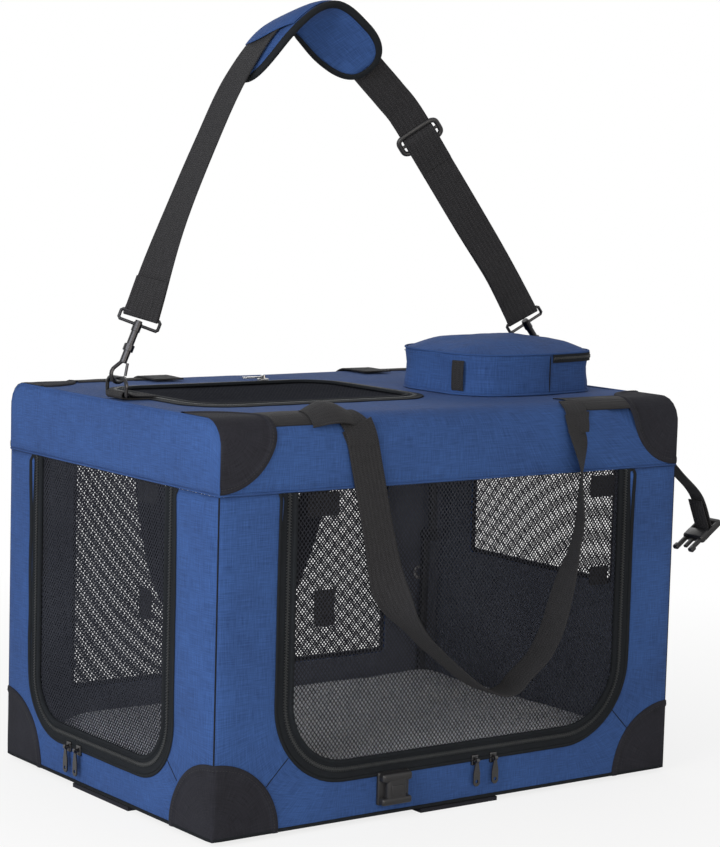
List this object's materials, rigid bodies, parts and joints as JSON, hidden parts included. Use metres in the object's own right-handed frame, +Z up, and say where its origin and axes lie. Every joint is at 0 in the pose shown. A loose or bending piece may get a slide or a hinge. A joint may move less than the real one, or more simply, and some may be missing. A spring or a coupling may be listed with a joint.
{
  "type": "pet carrier bag",
  "caption": "Soft-sided blue pet carrier on a folding tube frame, with mesh zip doors, roof pouch, webbing handles, hooked padded shoulder strap and side buckle.",
  "frame": {"origin": "middle of the floor board's rest face", "axes": "+Z up, +X towards the end with the roof pouch, -Y towards the big front door"},
  "size_m": [0.7925, 0.574, 0.9795],
  "materials": {
    "blue": "matte woven",
    "black": "matte webbing",
    "mesh": "open net",
    "fleece": "soft pile",
    "tube": "satin",
    "nickel": "polished",
    "plastic": "satin"
  },
  "bodies": {
    "base": {"base_panel": "plastic", "base_frame": "tube", "fleece_mat": "fleece", "front_wall": "blue", "rear_wall": "blue", "left_wall": "blue", "right_wall": "blue", "rear_window": "mesh", "right_window": "mesh", "low_patch_front_left": "black", "low_patch_front_right": "black", "low_patch_rear_left": "black", "low_patch_rear_right": "black"},
    "left_lower_posts": {"lower_post_front_left": "tube", "lower_post_rear_left": "tube"},
    "left_upper_posts": {"upper_post_front_left": "tube", "upper_post_rear_left": "tube"},
    "right_lower_posts": {"lower_post_front_right": "tube", "lower_post_rear_right": "tube"},
    "right_upper_posts": {"upper_post_front_right": "tube", "upper_post_rear_right": "tube"},
    "top": {"top_panel": "blue", "top_frame": "tube", "pouch": "blue", "ring_tab_left": "black", "ring_tab_right": "black", "top_patch_front_left": "black", "top_patch_front_right": "black", "top_patch_rear_left": "black", "top_patch_rear_right": "black"},
    "front_door": {"front_door": "mesh"},
    "left_door": {"left_door": "mesh"},
    "top_door": {"top_door": "mesh"},
    "front_slider_left": {"front_slider_left": "nickel"},
    "front_slider_right": {"front_slider_right": "nickel"},
    "front_pull_left": {"front_pull_left": "nickel"},
    "front_pull_right": {"front_pull_right": "nickel"},
    "left_slider_near": {"left_slider_near": "nickel"},
    "left_slider_far": {"left_slider_far": "nickel"},
    "left_pull_near": {"left_pull_near": "nickel"},
    "left_pull_far": {"left_pull_far": "nickel"},
    "top_slider": {"top_slider": "nickel"},
    "pouch_slider": {"pouch_slider": "nickel"},
    "front_handle": {"front_handle": "black"},
    "rear_handle": {"rear_handle": "black"},
    "ring_left": {"d_ring_left": "nickel"},
    "ring_right": {"d_ring_right": "nickel"},
    "strap": {"shoulder_strap": "black", "shoulder_pad": "blue", "strap_loop_left": "nickel", "strap_loop_right": "nickel"},
    "hook_left": {"hook_left": "nickel"},
    "hook_right": {"hook_right": "nickel"},
    "gate_left": {"hook_gate_left": "nickel"},
    "gate_right": {"hook_gate_right": "nickel"},
    "tri_glide": {"tri_glide": "plastic"},
    "buckle_socket": {"buckle_socket": "plastic"},
    "buckle_strap": {"buckle_strap": "black"},
    "buckle_plug": {"buckle_plug": "plastic"}
  },
  "joints": [
    {"name": "fold", "type": "hinge", "parent": "base", "child": "left_lower_posts", "pos_m": [-0.315, 0, 0.048], "axis": [0, 1, 0], "range_deg": [0, 84], "deforming": ["front_wall", "rear_wall", "left_wall", "right_wall", "rear_window", "right_window", "low_patch_front_left", "low_patch_front_right", "low_patch_rear_left", "low_patch_rear_right", "front_door", "left_door", "front_handle", "rear_handle"]},
    {"name": "left_knee", "type": "hinge", "parent": "left_lower_posts", "child": "left_upper_posts", "pos_m": [-0.31852, 0, 0.2495], "axis": [0, 1, 0], "range_deg": [-168, 0]},
    {"name": "left_head", "type": "hinge", "parent": "left_upper_posts", "child": "top", "pos_m": [-0.315, 0, 0.451], "axis": [0, 1, 0], "range_deg": [0, 84]},
    {"name": "right_foot", "type": "hinge", "parent": "base", "child": "right_lower_posts", "pos_m": [0.315, 0, 0.048], "axis": [0, 1, 0], "range_deg": [-84, 0]},
    {"name": "right_knee", "type": "hinge", "parent": "right_lower_posts", "child": "right_upper_posts", "pos_m": [0.31852, 0, 0.2495], "axis": [0, 1, 0], "range_deg": [0, 168]},
    {"name": "front_door_swing", "type": "hinge", "parent": "top", "child": "front_door", "pos_m": [0, -0.2425, 0.404], "axis": [1, 0, 0], "range_deg": [0, 80]},
    {"name": "left_door_swing", "type": "hinge", "parent": "top", "child": "left_door", "pos_m": [-0.35, 0, 0.404], "axis": [0, 1, 0], "range_deg": [0, 100]},
    {"name": "top_door_swing", "type": "hinge", "parent": "top", "child": "top_door", "pos_m": [0.052, 0, 0.491], "axis": [0, 1, 0], "range_deg": [0, 70]},
    {"name": "front_zip_left", "type": "slide", "parent": "base", "child": "front_slider_left", "axis": [1, 0, 0], "range_m": [-0.08, 0]},
    {"name": "front_zip_right", "type": "slide", "parent": "base", "child": "front_slider_right", "axis": [1, 0, 0], "range_m": [0, 0.11]},
    {"name": "left_zip_near", "type": "slide", "parent": "base", "child": "left_slider_near", "axis": [0, 1, 0], "range_m": [-0.15, 0]},
    {"name": "left_zip_far", "type": "slide", "parent": "base", "child": "left_slider_far", "axis": [0, 1, 0], "range_m": [0, 0.03]},
    {"name": "top_zip", "type": "slide", "parent": "top", "child": "top_slider", "axis": [1, 0, 0], "range_m": [-0.18, 0.08]},
    {"name": "pouch_zip", "type": "slide", "parent": "top", "child": "pouch_slider", "axis": [0, 1, 0], "range_m": [-0.045, 0.045]},
    {"name": "front_pull_left_flip", "type": "hinge", "parent": "front_slider_left", "child": "front_pull_left", "pos_m": [0.03, -0.2527, 0.0565], "axis": [-1, 0, 0], "range_deg": [0, 150]},
    {"name": "front_pull_right_flip", "type": "hinge", "parent": "front_slider_right", "child": "front_pull_right", "pos_m": [0.059, -0.2527, 0.0565], "axis": [-1, 0, 0], "range_deg": [0, 150]},
    {"name": "left_pull_near_flip", "type": "hinge", "parent": "left_slider_near", "child": "left_pull_near", "pos_m": [-0.3577, 0.056, 0.0505], "axis": [0, 1, 0], "range_deg": [0, 150]},
    {"name": "left_pull_far_flip", "type": "hinge", "parent": "left_slider_far", "child": "left_pull_far", "pos_m": [-0.3577, 0.08, 0.0505], "axis": [0, 1, 0], "range_deg": [0, 150]},
    {"name": "front_handle_lift", "type": "hinge", "parent": "top", "child": "front_handle", "pos_m": [0, -0.2464, 0.478], "axis": [-1, 0, 0], "range_deg": [0, 175]},
    {"name": "rear_handle_lift", "type": "hinge", "parent": "top", "child": "rear_handle", "pos_m": [0, 0.2464, 0.478], "axis": [1, 0, 0], "range_deg": [0, 175]},
    {"name": "ring_left_tilt", "type": "hinge", "parent": "top", "child": "ring_left", "pos_m": [-0.34, 0, 0.4975], "axis": [0, 1, 0], "range_deg": [0, 5]},
    {"name": "ring_right_tilt", "type": "hinge", "parent": "top", "child": "ring_right", "pos_m": [0.34, 0, 0.4975], "axis": [0, 1, 0], "range_deg": [-5, 0]},
    {"name": "strap_swing", "type": "hinge", "parent": "top", "child": "strap", "pos_m": [0, 0, 0.518], "axis": [1, 0, 0], "range_deg": [-20, 20]},
    {"name": "hook_left_swivel", "type": "hinge", "parent": "strap", "child": "hook_left", "pos_m": [-0.33827, 0, 0.52194], "axis": [0.4019, 0, 0.9157], "range_deg": [-15, 15]},
    {"name": "gate_left_press", "type": "hinge", "parent": "hook_left", "child": "gate_left", "pos_m": [-0.3256, 0, 0.53439], "axis": [0, 1, 0], "range_deg": [0, 20], "stiffness_Nm_per_rad": 0.02},
    {"name": "hook_right_swivel", "type": "hinge", "parent": "strap", "child": "hook_right", "pos_m": [0.33731, 0, 0.52136], "axis": [-0.6252, 0, 0.7804], "range_deg": [-15, 15]},
    {"name": "gate_right_press", "type": "hinge", "parent": "hook_right", "child": "gate_right", "pos_m": [0.32184, 0, 0.53011], "axis": [0, -1, 0], "range_deg": [0, 20], "stiffness_Nm_per_rad": 0.02},
    {"name": "tri_glide_slide", "type": "slide", "parent": "strap", "child": "tri_glide", "axis": [0.6334, 0, -0.7738], "range_m": [-0.015, 0.1]},
    {"name": "buckle_socket_lift", "type": "hinge", "parent": "base", "child": "buckle_socket", "pos_m": [-0.0925, -0.2453, 0.066], "axis": [-1, 0, 0], "range_deg": [0, 90]},
    {"name": "buckle_strap_lift", "type": "hinge", "parent": "top", "child": "buckle_strap", "pos_m": [0.3503, -0.222, 0.436], "axis": [0, -1, 0], "range_deg": [0, 80]},
    {"name": "buckle_plug_turn", "type": "hinge", "parent": "buckle_strap", "child": "buckle_plug", "pos_m": [0.428, -0.222, 0.314], "axis": [0, -1, 0], "range_deg": [-30, 30]}
  ],
  "couplings": [
    {"joint": "left_knee", "follows": "fold", "ratio": -2},
    {"joint": "left_head", "follows": "fold", "ratio": 1},
    {"joint": "right_foot", "follows": "fold", "ratio": -1},
    {"joint": "right_knee", "follows": "fold", "ratio": 2}
  ]
}
